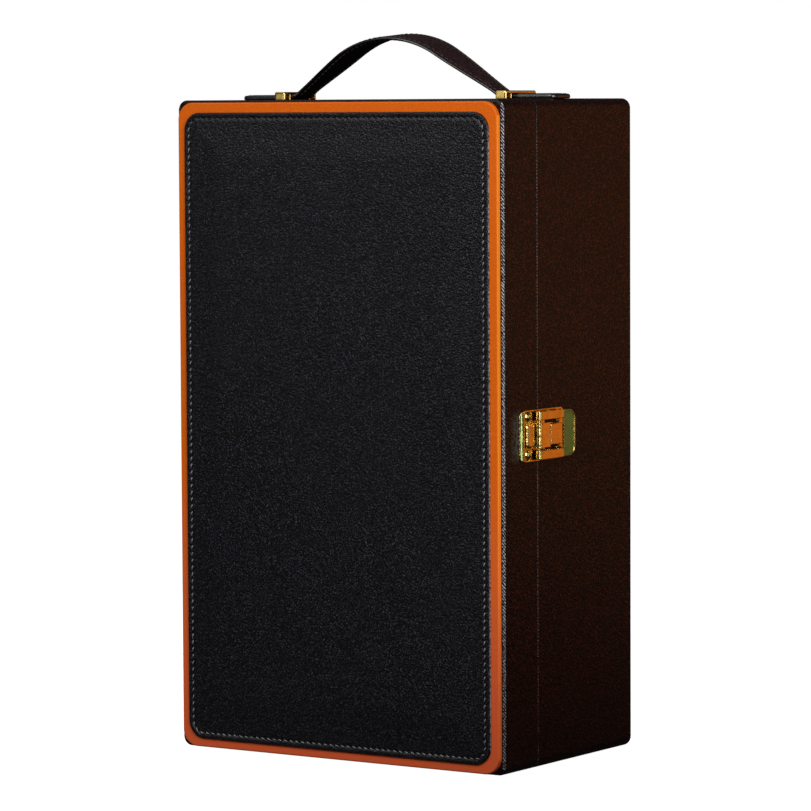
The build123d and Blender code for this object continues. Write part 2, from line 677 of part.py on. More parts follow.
def rivets(places):
    """A group of domed rivets through the plates of the clasp."""
    with BuildPart() as group:
        for y, z in places:
            with Locations((PLATE_FACE, SPLIT + y, CLASP_HEIGHT + z)):
                add(rivet.part)
    return group.part


save(rivets([(LID_RIVET_Y, -RIVET_HEIGHT), (LID_RIVET_Y, RIVET_HEIGHT)]), "clasp_lid_rivets")
save(rivets(strike_rivets), "clasp_strike_rivets")

# Handle: a strap in a low arch, held down by two loops, with thicker tabs that slide outside them

with BuildPart() as handle_strap:
    strap_base = HEIGHT + STRAP_LIFT
    strap_middle = strap_base + STRAP_THICKNESS / 2
    rise_left = tan(radians(LEFT_SLOPE))
    rise_right = tan(radians(RIGHT_SLOPE))
    apex_x = (RIGHT_BEND_X * rise_right - LEFT_BEND_X * rise_left) / (rise_right + rise_left)
    apex_z = strap_middle + rise_left * (apex_x + LEFT_BEND_X)
    with BuildSketch(frontal(STRAP_MIDDLE / 2, 0)):
        with BuildLine():
            FilletPolyline(
                (-STRAP_REACH, strap_middle),
                (-LEFT_BEND_X, strap_middle),
                (apex_x, apex_z),
                (RIGHT_BEND_X, strap_middle),
                (STRAP_REACH, strap_middle),
                radius=[BEND_RADIUS, APEX_RADIUS, BEND_RADIUS],
            )
        trace(line_width=STRAP_THICKNESS)
    extrude(amount=STRAP_MIDDLE)
    with BuildSketch(Plane.XY.offset(HEIGHT)) as plan:
        with BuildLine():
            FilletPolyline(
                (-STRAP_REACH, -STRAP_NECK / 2),
                (-NECK_X, -STRAP_NECK / 2),
                (-MIDDLE_X, -STRAP_MIDDLE / 2),
                (MIDDLE_X, -STRAP_MIDDLE / 2),
                (NECK_X, -STRAP_NECK / 2),
                (STRAP_REACH, -STRAP_NECK / 2),
                (STRAP_REACH, STRAP_NECK / 2),
                (NECK_X, STRAP_NECK / 2),
                (MIDDLE_X, STRAP_MIDDLE / 2),
                (-MIDDLE_X, STRAP_MIDDLE / 2),
                (-NECK_X, STRAP_NECK / 2),
                (-STRAP_REACH, STRAP_NECK / 2),
                close=True,
                radius=[0] + [SHOULDER_RADIUS] * 4 + [0, 0] + [SHOULDER_RADIUS] * 4 + [0],
            )
        make_face()
    extrude(amount=HEIGHT, mode=Mode.INTERSECT)
save(handle_strap.part, "handle_strap")

TAB_INNER_X = LOOP_X + LOOP_WIDTH / 2 + HANDLE_GAP
tab_base = Plane.XY.offset(strap_base)


def handle_tab(side):
    """The right (side 1) or left (side -1) end of the strap, with its tongue through the loop."""
    with BuildPart() as tab:
        with BuildSketch(tab_base) as plan:
            with Locations((side * (TAB_INNER_X + TAB_OUTER_X) / 2, 0)):
                Rectangle(TAB_OUTER_X - TAB_INNER_X, TAB_WIDTH)
            tip = plan.vertices().sort_by(lambda corner: abs(corner.X))[-2:]
            fillet(tip, TAB_TIP_RADIUS)
        extrude(amount=TAB_THICKNESS)
        fillet(tab.faces().sort_by(Axis.Z)[-1].edges(), TAB_EDGE_RADIUS)
        tongue_start = STRAP_REACH + HANDLE_GAP
        with BuildSketch(tab_base):
            with Locations((side * (tongue_start + TAB_INNER_X) / 2, 0)):
                Rectangle(TAB_INNER_X - tongue_start, STRAP_NECK)
        extrude(amount=STRAP_THICKNESS)
    return tab.part


def handle_loop(x):
    """A brass loop over the strap; its two prongs go through the top and are clinched."""
    with BuildPart() as loop:
        with BuildSketch(Plane.YZ.offset(x - LOOP_WIDTH / 2)) as band:
            with Locations((0, HEIGHT)):
                bottom = (Align.CENTER, Align.MIN)
                Rectangle(LOOP_INSIDE + 2 * LOOP_THICKNESS, LOOP_HEIGHT, align=bottom)
                fillet(band.vertices().group_by(Axis.Y)[-1], LOOP_CORNER)
                Rectangle(LOOP_INSIDE, LOOP_HEIGHT - LOOP_THICKNESS, align=bottom, mode=Mode.SUBTRACT)
        extrude(amount=LOOP_WIDTH)
        above = loop.edges().filter_by_position(Axis.Z, HEIGHT + LOOP_EDGE, HEIGHT + LOOP_HEIGHT)
        rims = above.filter_by(Axis.X, reverse=True)
        fillet(rims, LOOP_EDGE)
        add(prongs(x))
    return loop.part


for name, side in {"left": -1, "right": 1}.items():
    save(handle_tab(side), f"{name}_handle_tab")
    save(handle_loop(side * LOOP_X), f"{name}_handle_loop")
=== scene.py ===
"""Dresses the leather wine box: leathers, stitching, brass, velvet, studio and camera."""

import json
import math

import bmesh
import bpy
from mathutils import Matrix, Vector, noise


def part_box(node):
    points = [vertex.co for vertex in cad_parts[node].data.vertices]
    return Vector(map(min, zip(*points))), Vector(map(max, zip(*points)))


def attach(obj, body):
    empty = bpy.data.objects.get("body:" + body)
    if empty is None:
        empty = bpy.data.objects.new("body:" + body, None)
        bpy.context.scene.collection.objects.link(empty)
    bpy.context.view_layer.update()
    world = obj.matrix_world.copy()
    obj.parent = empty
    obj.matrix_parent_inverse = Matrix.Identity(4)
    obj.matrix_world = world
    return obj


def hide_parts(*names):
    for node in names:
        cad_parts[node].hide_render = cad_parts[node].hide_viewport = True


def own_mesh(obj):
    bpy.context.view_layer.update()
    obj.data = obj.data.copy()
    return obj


MM = 0.001

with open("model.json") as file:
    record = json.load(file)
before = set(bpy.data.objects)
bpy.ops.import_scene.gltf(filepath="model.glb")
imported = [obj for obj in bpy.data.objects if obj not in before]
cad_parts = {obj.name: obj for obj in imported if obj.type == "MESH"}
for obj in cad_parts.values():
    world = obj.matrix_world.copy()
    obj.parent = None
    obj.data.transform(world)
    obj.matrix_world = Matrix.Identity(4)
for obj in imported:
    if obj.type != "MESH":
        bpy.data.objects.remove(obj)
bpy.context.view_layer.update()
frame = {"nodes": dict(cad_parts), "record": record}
NODES = frame["nodes"]


def box_of(node):
    """A node's lowest and highest corners, in millimetres."""
    low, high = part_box(node)
    return Vector(low) / MM, Vector(high) / MM


# Sizes of the pieces that are modelled here, in millimetres

pad_low, pad_high = box_of("front_pad_leather")
panel_low, panel_high = box_of("front_panel_leather")
PANEL_FRONT = panel_low.y
PANEL_SIDE = panel_high.x
PAD_SIZE = (pad_high.x - pad_low.x, pad_high.z - pad_low.z)
PAD_MIDDLE = (pad_high.z + pad_low.z) / 2
PAD_RADIUS = 9.6
PAD_THICKNESS = 1.3
STITCH_INSET = 3.2
STITCH_PITCH = 3.7

strap_low, strap_high = box_of("handle_strap")
STRAP_BASE = strap_low.z
STRAP_THICKNESS = 2.2
STRAP_MIDDLE = STRAP_BASE + STRAP_THICKNESS / 2
STRAP_WIDE = strap_high.y
STRAP_NECK = 8.0
WAIST_START = 29.5
WAIST_END = 67.5
LEFT_BEND_X = 67.4
RIGHT_BEND_X = 66.2
LEFT_SLOPE = math.radians(34.5)
RIGHT_SLOPE = math.radians(31.25)
APEX_RADIUS = 57.6
BEND_RADIUS = 4.0
STRAP_REACH = 81.0

tab_low, tab_high = box_of("right_handle_tab")
TAB_GAP = 0.3
TAB_INNER = box_of("right_handle_loop")[1].x + TAB_GAP
TAB_OUTER = tab_high.x
TAB_HALF = tab_high.y
TAB_THICKNESS = tab_high.z - tab_low.z
TAB_RADIUS = 3.6
TAB_SINK = 0.28
TAB_BASE = tab_low.z - TAB_SINK


# Materials


class Graph:
    """A material's node tree, with one call for each kind of node that is used here."""

    def __init__(self, name):
        self.material = bpy.data.materials.new(name)
        self.material.use_nodes = True
        self.tree = self.material.node_tree
        self.shader = self.tree.nodes["Principled BSDF"]
        self.place = self.node("ShaderNodeTexCoord").outputs["Object"]

    def node(self, kind, **settings):
        made = self.tree.nodes.new(kind)
        for name, value in settings.items():
            setattr(made, name, value)
        return made

    def link(self, source, target):
        """Leads another node's output into a socket, or sets the socket to a plain value."""
        if isinstance(source, bpy.types.NodeSocket):
            self.tree.links.new(source, target)
        else:
            target.default_value = source

    def noise(self, scale, detail=3.0, roughness=0.5):
        made = self.node("ShaderNodeTexNoise")
        self.link(self.place, made.inputs["Vector"])
        made.inputs["Scale"].default_value = scale
        made.inputs["Detail"].default_value = detail
        made.inputs["Roughness"].default_value = roughness
        return made.outputs["Fac"]

    def cells(self, scale, place):
        """The distance to the middle of the nearest of many soft cells."""
        made = self.node("ShaderNodeTexVoronoi", feature="SMOOTH_F1")
        self.link(place, made.inputs["Vector"])
        made.inputs["Scale"].default_value = scale
        return made.outputs["Distance"]

    def maths(self, operation, a, b=0.0):
        made = self.node("ShaderNodeMath", operation=operation)
        self.link(a, made.inputs[0])
        self.link(b, made.inputs[1])
        return made.outputs[0]

    def shifted(self, amount, scale):
        """The place, moved about by a coarse noise, so that cells are uneven."""
        moved = self.node("ShaderNodeTexNoise")
        self.link(self.place, moved.inputs["Vector"])
        moved.inputs["Scale"].default_value = scale
        scaled = self.node("ShaderNodeVectorMath", operation="SCALE")
        self.link(moved.outputs["Color"], scaled.inputs[0])
        scaled.inputs["Scale"].default_value = amount
        added = self.node("ShaderNodeVectorMath", operation="ADD")
        self.link(self.place, added.inputs[0])
        self.link(scaled.outputs[0], added.inputs[1])
        return added.outputs[0]

    def span(self, value, low, high, to_low=0.0, to_high=1.0):
        """A value that goes evenly from to_low to to_high as another goes from low to high."""
        made = self.node("ShaderNodeMapRange")
        self.link(value, made.inputs["Value"])
        made.inputs["From Min"].default_value = low
        made.inputs["From Max"].default_value = high
        made.inputs["To Min"].default_value = to_low
        made.inputs["To Max"].default_value = to_high
        return made.outputs["Result"]

    def fade(self, length, start, end, low=0.0, full=1.0):
        """A mask that goes from low to full between two places, which are in millimetres."""
        return self.span(length, start * MM, end * MM, low, full)

    def mix(self, factor, first, second):
        made = self.node("ShaderNodeMix", data_type="RGBA")
        self.link(factor, made.inputs["Factor"])
        self.link(first, made.inputs["A"])
        self.link(second, made.inputs["B"])
        return made.outputs["Result"]

    def bump(self, height, distance, strength=1.0, normal=None):
        made = self.node("ShaderNodeBump")
        self.link(height, made.inputs["Height"])
        made.inputs["Distance"].default_value = distance
        made.inputs["Strength"].default_value = strength
        if normal:
            self.link(normal, made.inputs["Normal"])
        return made.outputs["Normal"]

    def set(self, **values):
        """Sets or links inputs of the shader, with an underscore for each space in a name."""
        for name, value in values.items():
            self.link(value, self.shader.inputs[name.replace("_", " ")])


def rgb(red, green, blue):
    """A colour that is not see-through."""
    return (red, green, blue, 1.0)


def leather(name, colours, grain, depth, rough, gloss, painted_light=None):
    """Pebbled leather: uneven cells of the given size in metres, darker in their creases.

    The colours are those of the creases, of most pebbles and of the few pale ones; on the black
    leather the pale ones are painted glints. The last argument is a function that paints
    highlights, reflections and shade into the colour.
    """
    crease_colour, colour, pale = colours
    graph = Graph(name)
    uneven = graph.shifted(grain * 0.9, 0.55 / grain)
    pebble = graph.cells(1 / grain, uneven)
    fine = graph.maths("MULTIPLY", graph.noise(3.2 / grain, 2.0), 0.12)
    height = graph.maths("ADD", graph.maths("MULTIPLY", pebble, -1.0), fine)
    speck_and_glint = graph.span(graph.noise(1.2 / grain, 2.0, roughness=0.6), 0.49, 0.66)
    crease = graph.span(pebble, 0.22, 0.5)
    tint = graph.mix(crease, graph.mix(speck_and_glint, colour, pale), crease_colour)
    graph.set(
        Base_Color=painted_light(graph, tint) if painted_light else tint,
        Roughness=graph.span(pebble, 0.2, 0.65, rough, rough + 0.16),
        Specular_IOR_Level=gloss,
        Normal=graph.bump(height, depth),
    )
    return graph.material


# Painted highlights, reflections and shade on the leathers

LID_LOW, LID_HIGH = box_of("lid_leather")
PLATE_LOW, PLATE_HIGH = box_of("clasp_lid_plate")
SPLIT = (LID_HIGH.y + box_of("body_leather")[0].y) / 2
EDGE_RADIUS = 2.0
STREAK_PITCH = 1.8
DOT_PITCH = 1.7
REFLECTION_PITCH = 1.1
REFLECTION_REACH = 9.0
REFLECTION_FADE = 5.0
EDGE_BAND_START = 0.35
EDGE_BAND_FULL = 0.1
# Colours of painted highlights, a painted reflection and painted shade on the leathers
RIM_HIGHLIGHT = rgb(0.15, 0.085, 0.07)
EDGE_HIGHLIGHT = rgb(0.5, 0.5, 0.54)
SIDE_REFLECTION = rgb(0.14, 0.15, 0.125)
PAD_EDGE_HIGHLIGHT = rgb(0.32, 0.32, 0.33)
LOW_SHADED_ORANGE = rgb(0.74, 0.115, 0.034)
LIT_EDGE_ORANGE = rgb(1.0, 0.27, 0.016)
LOW_LIT_EDGE_ORANGE = rgb(1.0, 0.19, 0.045)


def axes_of(graph):
    """A graph's three coordinates, in metres."""
    axes = graph.node("ShaderNodeSeparateXYZ")
    graph.link(graph.place, axes.inputs[0])
    return axes.outputs["X"], axes.outputs["Y"], axes.outputs["Z"]


def product(graph, *masks):
    """Masks that hold together: each is multiplied by the next."""
    whole = masks[0]
    for mask in masks[1:]:
        whole = graph.maths("MULTIPLY", whole, mask)
    return whole


def streaks_of(graph, lean, pitch):
    """Broken streaks, a pitch in millimetres apart, which fall by lean as they go back."""
    x, y, z = axes_of(graph)
    along = graph.maths("ADD", z, graph.maths("MULTIPLY", graph.maths("ADD", x, y), lean))
    turns = graph.maths("MULTIPLY", along, 2 * math.pi / (pitch * MM))
    uneven = graph.maths("MULTIPLY", graph.noise(420.0, 2.0), 6.0)
    wave = graph.maths("SINE", graph.maths("ADD", turns, uneven))
    broken = graph.span(graph.noise(900.0, 2.0), 0.4, 0.6, -0.5, 0.5)
    return graph.span(graph.maths("ADD", wave, broken), 0.3, 0.9)


def rim_highlights(graph, tint):
    """A painted highlight in dots along the split's rims, on the outer faces and below the top."""
    x, y, z = axes_of(graph)
    sideways = graph.maths("ABSOLUTE", x)
    away = graph.maths("ABSOLUTE", graph.maths("SUBTRACT", y, SPLIT * MM))
    rims = product(
        graph,
        graph.fade(away, 0.7, 0.3),
        streaks_of(graph, 0.0, DOT_PITCH),
        graph.fade(z, LID_HIGH.z - 8, LID_HIGH.z - 16),
        graph.fade(sideways, LID_HIGH.x - 1.2, LID_HIGH.x - 0.7),
    )
    return graph.mix(rims, tint, RIM_HIGHLIGHT)


def front_edge_highlights(graph, tint):
    """A painted highlight in broken stripes along the lid's upright front edges, weaker at the foot.
    """
    x, y, z = axes_of(graph)
    sideways = graph.maths("ABSOLUTE", x)
    forward = graph.maths("SUBTRACT", (LID_LOW.y + EDGE_RADIUS) * MM, y)
    outward = graph.maths("SUBTRACT", sideways, (LID_HIGH.x - EDGE_RADIUS) * MM)
    edge = product(
        graph,
        graph.fade(forward, 0.85, 1.25),
        graph.fade(outward, 0.1, 0.5),
        streaks_of(graph, 1.0, STREAK_PITCH),
        graph.fade(z, 20, 160, 0.6),
    )
    return graph.mix(edge, tint, EDGE_HIGHLIGHT)


def side_reflection(graph, tint):
    """A painted reflection of glare, in fine slanting streaks on the side of the lid before the
    clasp.
    """
    x, y, z = axes_of(graph)
    middle = (PLATE_LOW.z + PLATE_HIGH.z) / 2
    half = (PLATE_HIGH.z - PLATE_LOW.z) / 2
    level = graph.maths("ABSOLUTE", graph.maths("SUBTRACT", z, middle * MM))
    glare = product(
        graph,
        graph.fade(y, PLATE_LOW.y - REFLECTION_REACH, PLATE_LOW.y - 1, full=0.9),
        graph.fade(y, PLATE_LOW.y + 1, PLATE_LOW.y),
        graph.fade(level, half + 1, half - REFLECTION_FADE),
        graph.fade(x, LID_HIGH.x - 1, LID_HIGH.x - 0.5),
        streaks_of(graph, -0.8, REFLECTION_PITCH),
    )
    return graph.mix(glare, tint, SIDE_REFLECTION)


def painted_light_on_case(graph, tint):
    """All the painted highlights and the painted reflection of the brown leather."""
    for painted in (rim_highlights, front_edge_highlights, side_reflection):
        tint = painted(graph, tint)
    return tint


def upright_edges(graph, x, side):
    """A mask for what lies within a few tenths of a millimetre of the given half width."""
    return graph.fade(graph.maths("ABSOLUTE", x), side - EDGE_BAND_START, side - EDGE_BAND_FULL)


def pad_edge_highlights(graph, tint):
    """A painted highlight in flecks on the pad's upright edges."""
    x, y, _ = axes_of(graph)
    foot = graph.fade(y, PANEL_FRONT - 1.0, PANEL_FRONT - 0.6)
    flecks = graph.span(graph.noise(700.0, 2.0), 0.4, 0.56)
    highlight = product(graph, upright_edges(graph, x, pad_high.x), foot, flecks)
    return graph.mix(highlight, tint, PAD_EDGE_HIGHLIGHT)


def panel_edge_light(graph, tint):
    """The orange panel: a painted highlight at its upright edges, painted shade and sheen low down.
    """
    x, _, z = axes_of(graph)
    low_down = graph.fade(z, 160, 40)
    pale = graph.mix(low_down, LIT_EDGE_ORANGE, LOW_LIT_EDGE_ORANGE)
    flat = graph.mix(low_down, tint, LOW_SHADED_ORANGE)
    return graph.mix(upright_edges(graph, x, PANEL_SIDE), flat, pale)


BROWN = leather(
    "brown_leather",
    (rgb(0.001, 0.0002, 0.0001), rgb(0.015, 0.0017, 0.0012), rgb(0.078, 0.0125, 0.009)),
    grain=0.00095,
    depth=0.00022,
    rough=0.27,
    gloss=0.25,
    painted_light=painted_light_on_case,
)
STRAP = leather(
    "strap_leather",
    (rgb(0.007, 0.0016, 0.0019), rgb(0.036, 0.009, 0.0105), rgb(0.08, 0.024, 0.028)),
    grain=0.0011,
    depth=0.00016,
    rough=0.3,
    gloss=0.4,
)
# A darker copy of the strap leather, for the faces of the strap that look down
STRAP_UNDERSIDE = leather(
    "strap_underside",
    (rgb(0.0008, 0.0006, 0.0006), rgb(0.002, 0.0015, 0.0015), rgb(0.005, 0.004, 0.004)),
    grain=0.0011,
    depth=0.00012,
    rough=0.5,
    gloss=0.15,
)
# The pale pebbles of the black leather are painted glints of light on its grain
BLACK = leather(
    "black_leather",
    (rgb(0.0003, 0.0003, 0.0005), rgb(0.0044, 0.0041, 0.0064), rgb(0.066, 0.063, 0.085)),
    grain=0.00085,
    depth=0.00034,
    rough=0.28,
    gloss=0.39,
    painted_light=pad_edge_highlights,
)
ORANGE = leather(
    "orange_leather",
    (rgb(0.7, 0.12, 0.003), rgb(0.77, 0.138, 0.004), rgb(0.81, 0.15, 0.005)),
    grain=0.0008,
    depth=0.00004,
    rough=0.42,
    gloss=0.15,
    painted_light=panel_edge_light,
)


SHADE_REACH = 0.0016
BRASS_ROUNDING = 0.00035


def brass(name, waves, depth):
    """Polished brass with waves of the given scale and depth, and painted shade in its corners."""
    graph = Graph(name)
    cloud = graph.span(graph.noise(160.0, 4.0), 0.3, 0.7)
    brass_tone = graph.mix(cloud, rgb(0.9, 0.64, 0.2), rgb(0.84, 0.57, 0.16))
    # Painted shade: ambient occlusion turns the colour dark brown in corners and gaps
    corners = graph.node("ShaderNodeAmbientOcclusion", samples=6)
    corners.inputs["Distance"].default_value = SHADE_REACH
    unshaded_share = graph.span(corners.outputs["AO"], 0.3, 0.8)
    rounded = graph.node("ShaderNodeBevel", samples=4)
    rounded.inputs["Radius"].default_value = BRASS_ROUNDING
    graph.set(
        Base_Color=graph.mix(unshaded_share, rgb(0.16, 0.06, 0.012), brass_tone),
        Metallic=1.0,
        Roughness=graph.span(graph.noise(420.0, 2.0), 0.3, 0.7, 0.14, 0.24),
        Normal=graph.bump(graph.noise(waves, 1.0), depth, 1.0, rounded.outputs["Normal"]),
    )
    return graph.material


def edge_paint():
    """The smooth dark finish on the cut edges of the strap and its tabs."""
    graph = Graph("edge_paint")
    streaks = graph.noise(500.0, 3.0)
    graph.set(
        Base_Color=graph.mix(streaks, rgb(0.002, 0.0018, 0.002), rgb(0.006, 0.005, 0.0055)),
        Roughness=graph.span(streaks, 0.3, 0.7, 0.2, 0.28),
        Specular_IOR_Level=0.9,
    )
    return graph.material


def velvet():
    """Brown velvet, brushed lighter and darker in large patches."""
    graph = Graph("velvet")
    pile = graph.noise(2600.0, 2.0)
    brushed = graph.span(graph.noise(34.0, 3.0), 0.35, 0.65)
    graph.set(
        Base_Color=graph.mix(brushed, rgb(0.03, 0.013, 0.009), rgb(0.045, 0.021, 0.014)),
        Roughness=0.9,
        Sheen_Weight=0.8,
        Sheen_Roughness=0.4,
        Sheen_Tint=rgb(0.55, 0.35, 0.26),
        Normal=graph.bump(pile, 0.0003, 0.6),
    )
    return graph.material


def fibreboard():
    """The brown board and card under the leather."""
    graph = Graph("fibreboard")
    fibres = graph.noise(900.0, 5.0)
    graph.set(
        Base_Color=graph.mix(fibres, rgb(0.21, 0.12, 0.06), rgb(0.36, 0.23, 0.13)),
        Roughness=0.85,
        Normal=graph.bump(fibres, 0.0002, 0.5),
    )
    return graph.material


def foam():
    """Dark foam with open pores."""
    graph = Graph("foam")
    pores = graph.cells(1400.0, graph.place)
    graph.set(
        Base_Color=graph.mix(pores, rgb(0.06, 0.06, 0.065), rgb(0.02, 0.02, 0.022)),
        Roughness=0.95,
        Normal=graph.bump(pores, 0.0003, 0.5),
    )
    return graph.material


def thread(name, colour, deep, darker_above=None):
    """A twisted thread, darker above a height in millimetres if one is given."""
    graph = Graph(name)
    twist = graph.noise(2200.0, 2.0)
    tint = graph.mix(twist, deep, colour)
    tint = graph.mix(graph.span(graph.noise(60.0, 2.0), 0.4, 0.65, 0.0, 0.6), tint, deep)
    if darker_above:
        _, _, z = axes_of(graph)
        darkened = graph.fade(z, darker_above, darker_above + 3, full=0.85)
        tint = graph.mix(darkened, tint, rgb(0.02, 0.02, 0.02))
    graph.set(Base_Color=tint, Roughness=0.7, Normal=graph.bump(twist, 0.0001, 0.6))
    return graph.material


BRASS = brass("brass", 150.0, 0.00008)
CAST_BRASS = brass("cast_brass", 420.0, 0.00016)
EDGE_PAINT = edge_paint()
VELVET = velvet()
BOARD = fibreboard()
FOAM = foam()
DARKER_ABOVE = pad_high.z - 7
THREAD = thread("grey_thread", rgb(0.42, 0.42, 0.42), rgb(0.12, 0.12, 0.12), DARKER_ABOVE)
DARK_THREAD = thread("brown_thread", rgb(0.06, 0.045, 0.04), rgb(0.02, 0.014, 0.012))

FINISHES = {
    "brown_leather": BROWN,
    "strap_leather": STRAP,
    "black_leather": BLACK,
    "orange_leather": ORANGE,
    "brass": BRASS,
    "velvet": VELVET,
    "board": BOARD,
    "card": BOARD,
    "foam": FOAM,
}

for subpart in frame["record"]["subparts"]:
    mesh = NODES[subpart["node"]].data
    mesh.materials.clear()
    mesh.materials.append(FINISHES[subpart["material_slot"]])
NODES["clasp_lid_plate"].data.materials[0] = CAST_BRASS


# Shapes


def piece(name, points, faces, finish, body):
    """A smooth mesh from points in millimetres, which rides on a body."""
    mesh = bpy.data.meshes.new(name)
    mesh.from_pydata([Vector(point) * MM for point in points], [], faces)
    turned_out = bmesh.new()
    turned_out.from_mesh(mesh)
    bmesh.ops.recalc_face_normals(turned_out, faces=turned_out.faces)
    turned_out.to_mesh(mesh)
    turned_out.free()
    mesh.polygons.foreach_set("use_smooth", [True] * len(faces))
    mesh.materials.append(finish)
    made = bpy.data.objects.new(name, mesh)
    bpy.context.scene.collection.objects.link(made)
    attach(made, body)
    return made


CORNERS = ((1, -1), (1, 1), (-1, 1), (-1, -1))


def partway(start, end, share):
    """The point at a share of the way from one point to another."""
    return start[0] + (end[0] - start[0]) * share, start[1] + (end[1] - start[1]) * share


def on_circle(centre, radius, angle):
    """The point of a circle at an angle in radians."""
    return centre[0] + radius * math.cos(angle), centre[1] + radius * math.sin(angle)


def rounded_ring(size, radius, inset, along, around):
    """Points of a rounded rectangle inset all round: along its sides and around its corners."""
    half = (size[0] / 2 - radius, size[1] / 2 - radius)
    turn = radius - inset
    ring = []
    for corner in range(4):
        here = CORNERS[corner]
        following = CORNERS[(corner + 1) % 4]
        centre = (here[0] * half[0], here[1] * half[1])
        for step in range(around):
            angle = math.radians(-90 + 90 * (corner + step / around))
            ring.append(on_circle(centre, turn, angle))
        angle = math.radians(90 * corner)
        start = on_circle(centre, turn, angle)
        end = on_circle((following[0] * half[0], following[1] * half[1]), turn, angle)
        count = along[(corner + 1) % 2]
        for step in range(count):
            ring.append(partway(start, end, step / count))
    return ring


def core_ring(size, inset, along, around):
    """The sharp rectangle inside the rings, with as many points as they have."""
    half = (size[0] / 2 - inset, size[1] / 2 - inset)
    counts = (along[0] + around, along[1] + around)
    ring = []
    for corner in range(4):
        count = counts[(corner + 1) % 2]
        for step in range(count):
            u, v = partway(CORNERS[corner], CORNERS[(corner + 1) % 4], step / count)
            ring.append((half[0] * u, half[1] * v))
    shift = around // 2
    return ring[-shift:] + ring[:-shift]


def strip(faces, low, high, count):
    """Adds the faces between two closed rings, given the first index of each."""
    for k in range(count):
        n = (k + 1) % count
        faces.append((low + k, low + n, high + n, high + k))


def pillow(size, radius, profile, core, along, around, lift):
    """A rounded rectangle whose edge follows the profile of (inset, height), with a grid inside.

    The grid starts at the inset called core. Along and around are the numbers of points on
    each of two sides and on a corner. What lift gives for a place is added to its height.
    """
    points = []
    faces = []
    rings = []
    for inset, height in profile:
        rings.append((rounded_ring(size, radius, inset, along, around), height))
    outer, top = rings[-1]
    inner = core_ring(size, core, along, around)
    steps = 6
    for step in range(1, steps + 1):
        blended = [partway(start, end, step / steps) for start, end in zip(outer, inner)]
        rings.append((blended, top))
    total = len(inner)
    for index, (ring, height) in enumerate(rings):
        for u, v in ring:
            points.append((u, v, height + lift(u, v)))
        if index:
            strip(faces, (index - 1) * total, index * total, total)
    first = (len(rings) - 1) * total
    wide = along[0] + around
    high = along[1] + around
    shift = around // 2
    grid = {}
    for k in range(high + 1):
        grid[(wide, k)] = first + (k + shift) % total
        grid[(0, high - k)] = first + (k + shift + high + wide) % total
    for k in range(wide + 1):
        grid[(wide - k, high)] = first + (k + shift + high) % total
        grid[(k, 0)] = first + (k + shift + 2 * high + wide) % total
    half = (size[0] / 2 - core, size[1] / 2 - core)
    for i in range(1, wide):
        for k in range(1, high):
            u = half[0] * (2 * i / wide - 1)
            v = half[1] * (2 * k / high - 1)
            grid[(i, k)] = len(points)
            points.append((u, v, top + lift(u, v)))
    for i in range(wide):
        for k in range(high):
            faces.append((grid[(i, k)], grid[(i + 1, k)], grid[(i + 1, k + 1)], grid[(i, k + 1)]))
    faces.append(tuple(reversed(range(total))))
    return points, faces


STITCH_RISE = 0.9
STITCH_DIP = 0.75


def stitch(points, faces, centre, along, across, up, length, radius, slant):
    """Adds one stitch: a short thread that comes up out of the leather and goes back into it."""
    heading = (along * math.cos(slant) + across * math.sin(slant)).normalized()
    aside = heading.cross(up)
    base = len(points)
    stations = 7
    sides = 8
    for station in range(stations):
        share = 2 * station / (stations - 1) - 1
        rise = radius * STITCH_RISE * (1 - share**2) - radius * STITCH_DIP * share**4
        middle = centre + heading * (share * length / 2) + up * rise
        thick = radius * math.sqrt(1 - 0.75 * share**6)
        for side in range(sides):
            u, v = on_circle((0, 0), thick, 2 * math.pi * side / sides)
            points.append(middle + aside * u + up * v)
        if station:
            low = base + (station - 1) * sides
            strip(faces, low, low + sides, sides)
    last = base + (stations - 1) * sides
    faces.append(tuple(base + side for side in reversed(range(sides))))
    faces.append(tuple(last + side for side in range(sides)))


def rounded_path(size, radius, inset):
    """A function that gives the point and direction at a distance round, and the whole way round."""
    turn = radius - inset
    straight = (size[0] - 2 * radius, size[1] - 2 * radius)
    arc = math.pi * turn / 2
    total = 2 * (straight[0] + straight[1]) + 4 * arc

    def at(distance):
        distance = distance % total
        for corner in range(4):
            here = CORNERS[corner]
            centre = (here[0] * straight[0] / 2, here[1] * straight[1] / 2)
            if distance < arc:
                angle = math.radians(-90 + 90 * corner) + distance / turn
                return on_circle(centre, turn, angle), (-math.sin(angle), math.cos(angle))
            distance -= arc
            length = straight[(corner + 1) % 2]
            if distance < length:
                angle = math.radians(90 * corner)
                heading = (-math.sin(angle), math.cos(angle))
                start = on_circle(centre, turn, angle)
                point = (start[0] + heading[0] * distance, start[1] + heading[1] * distance)
                return point, heading
            distance -= length
        return at(0)

    return at, total


# Padded front panel with its stitched border


def inset_of(u, v, size, radius):
    """How far a point lies inside a rounded rectangle."""
    over = (abs(u) - (size[0] / 2 - radius), abs(v) - (size[1] / 2 - radius))
    if over[0] > 0 and over[1] > 0:
        return radius - math.hypot(*over)
    return radius - max(over)


def soft_step(value):
    """A smooth rise from 0 to 1 while the value goes from 0 to 1."""
    value = min(1.0, max(0.0, value))
    return value * value * (3 - 2 * value)


PAD_EDGE = 1.0
PAD_CROWN = 1.0
PAD_CROWN_WIDTH = 24.0
PAD_WAVES = 0.22
GROOVE = 0.42
GROOVE_WIDTH = 0.75
PUCKER = 0.12
PUCKER_WIDTH = 1.8


